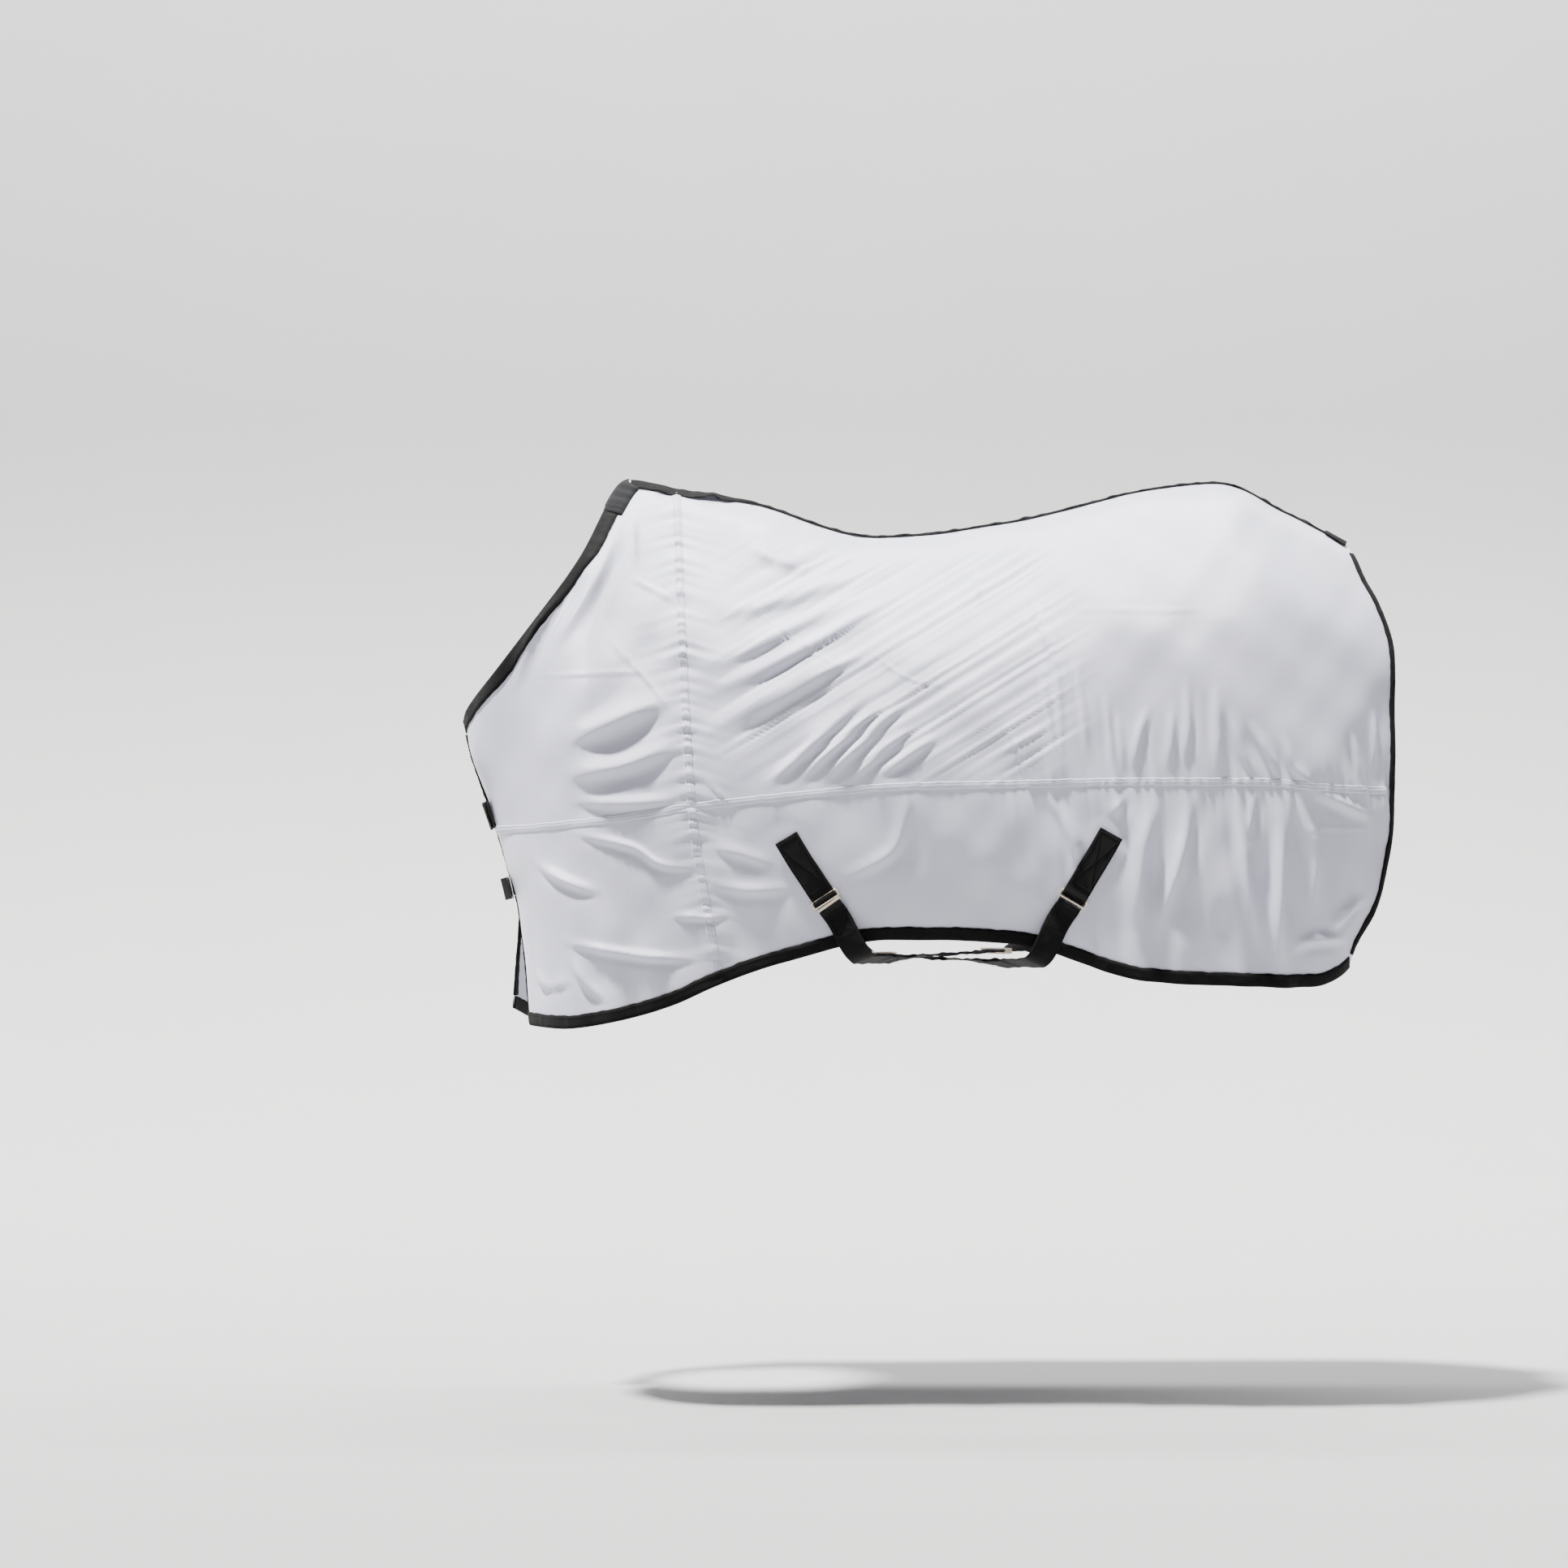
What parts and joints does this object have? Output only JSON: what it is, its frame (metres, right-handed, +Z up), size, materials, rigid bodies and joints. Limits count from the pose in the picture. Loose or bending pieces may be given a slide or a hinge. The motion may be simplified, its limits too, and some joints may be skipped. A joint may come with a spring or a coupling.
{
  "type": "fly sheet",
  "caption": "Light cloth horse rug with bound edges, hinged chest fronts, a chest tab and clip, and crossed belly surcingles.",
  "frame": {"origin": "underside of the cloth on the withers, where the neck edge meets the spine", "axes": "+X from neck to tail, +Y to the off (right) side, +Z up"},
  "size_m": [1.5221, 0.5732, 0.9006],
  "materials": {
    "cloth": "smooth white polyester with a soft satin sheen",
    "binding": "black woven tape",
    "webbing": "black ribbed webbing",
    "pad": "black padded fleece",
    "plastic": "black moulded plastic",
    "metal": "pale plated wire"
  },
  "bodies": {
    "sheet": {"near_body_upper": "cloth", "near_body_lower": "cloth", "near_shoulder_upper": "cloth", "near_shoulder_lower": "cloth", "off_body_upper": "cloth", "off_body_lower": "cloth", "off_shoulder_upper": "cloth", "off_shoulder_lower": "cloth", "near_shoulder_seam": "cloth", "near_body_side_seam": "cloth", "near_shoulder_side_seam": "cloth", "off_shoulder_seam": "cloth", "off_body_side_seam": "cloth", "off_shoulder_side_seam": "cloth", "spine_tape": "binding", "dock_patch": "webbing", "withers_pad": "pad", "near_neck_binding": "binding", "near_hem_binding": "binding", "near_rear_binding": "binding", "off_neck_binding": "binding", "off_hem_binding": "binding", "off_rear_binding": "binding", "near_front_patch": "webbing", "near_rear_patch": "webbing", "off_front_patch": "webbing", "off_rear_patch": "webbing", "off_front_surcingle_root": "webbing", "off_rear_surcingle_root": "webbing"},
    "near_front": {"near_chest_upper": "cloth", "near_chest_lower": "cloth", "near_chest_side_seam": "cloth", "near_chest_neck_binding": "binding", "near_front_binding": "binding", "near_chest_hem_binding": "binding", "near_tab_base": "webbing", "near_clip_strap": "webbing", "near_clip_prongs": "plastic"},
    "off_front": {"off_chest_upper": "cloth", "off_chest_lower": "cloth", "off_chest_side_seam": "cloth", "off_chest_neck_binding": "binding", "off_front_binding": "binding", "off_chest_hem_binding": "binding", "off_tab_landing": "webbing", "off_clip_strap": "webbing", "off_clip_socket": "plastic"},
    "chest_tab": {"chest_tab": "webbing"},
    "near_front_ring": {"near_front_ring": "metal"},
    "near_rear_ring": {"near_rear_ring": "metal"},
    "front_belly": {"front_surcingle_belly": "webbing"},
    "front_end": {"front_surcingle_end": "webbing", "front_surcingle_hook": "metal"},
    "front_adjuster": {"front_surcingle_adjuster": "metal"},
    "rear_belly": {"rear_surcingle_belly": "webbing"},
    "rear_end": {"rear_surcingle_end": "webbing", "rear_surcingle_hook": "metal"},
    "rear_adjuster": {"rear_surcingle_adjuster": "metal"}
  },
  "joints": [
    {"name": "near_front_open", "type": "hinge", "parent": "sheet", "child": "near_front", "pos_m": [-0.15313, -0.1665, -0.59306], "axis": [-0.154, 0.1242, 0.9802], "range_deg": [0, 90]},
    {"name": "off_front_open", "type": "hinge", "parent": "sheet", "child": "off_front", "pos_m": [-0.15313, 0.1665, -0.59306], "axis": [-0.154, -0.1242, 0.9802], "range_deg": [-90, 0]},
    {"name": "chest_tab_swing", "type": "hinge", "parent": "near_front", "child": "chest_tab", "pos_m": [-0.22775, -0.05345, -0.54864], "axis": [-0.3244, 0.0029, 0.9459], "range_deg": [0, 105]},
    {"name": "near_front_ring_tilt", "type": "hinge", "parent": "sheet", "child": "near_front_ring", "pos_m": [0.31684, -0.26901, -0.6769], "axis": [-0.8374, 0.0504, -0.5442], "range_deg": [0, 60]},
    {"name": "near_rear_ring_tilt", "type": "hinge", "parent": "sheet", "child": "near_rear_ring", "pos_m": [0.7148, -0.27771, -0.67541], "axis": [-0.8639, 0.0173, 0.5034], "range_deg": [0, 60]},
    {"name": "rear_surcingle_release", "type": "hinge", "parent": "sheet", "child": "rear_belly", "pos_m": [0.39667, 0.21413, -0.78452], "axis": [0.8766, 0.48, 0.0336], "range_deg": [0, 88]},
    {"name": "rear_surcingle_unbend", "type": "hinge", "parent": "rear_belly", "child": "rear_end", "pos_m": [0.6594, -0.26242, -0.7753], "axis": [0.8318, 0.4125, -0.3714], "range_deg": [0, 75]},
    {"name": "front_surcingle_release", "type": "hinge", "parent": "sheet", "child": "front_belly", "pos_m": [0.63341, 0.21529, -0.779], "axis": [0.8757, -0.4816, -0.0337], "range_deg": [0, 83]},
    {"name": "front_surcingle_unbend", "type": "hinge", "parent": "front_belly", "child": "front_end", "pos_m": [0.37069, -0.26126, -0.76577], "axis": [0.785, -0.4604, 0.4145], "range_deg": [0, 75]},
    {"name": "front_adjuster_slide", "type": "slide", "parent": "front_belly", "child": "front_adjuster", "axis": [-0.4828, -0.8757, 0], "range_m": [0, 0.09]},
    {"name": "rear_adjuster_slide", "type": "slide", "parent": "rear_belly", "child": "rear_adjuster", "axis": [0.4828, -0.8756, -0.0162], "range_m": [0, 0.045]}
  ],
  "couplings": [
    {"joint": "off_front_open", "follows": "near_front_open", "ratio": -1},
    {"joint": "rear_surcingle_unbend", "follows": "rear_surcingle_release", "ratio": 0.85},
    {"joint": "front_surcingle_release", "follows": "rear_surcingle_release", "ratio": 0.94},
    {"joint": "front_surcingle_unbend", "follows": "rear_surcingle_release", "ratio": 0.85}
  ]
}
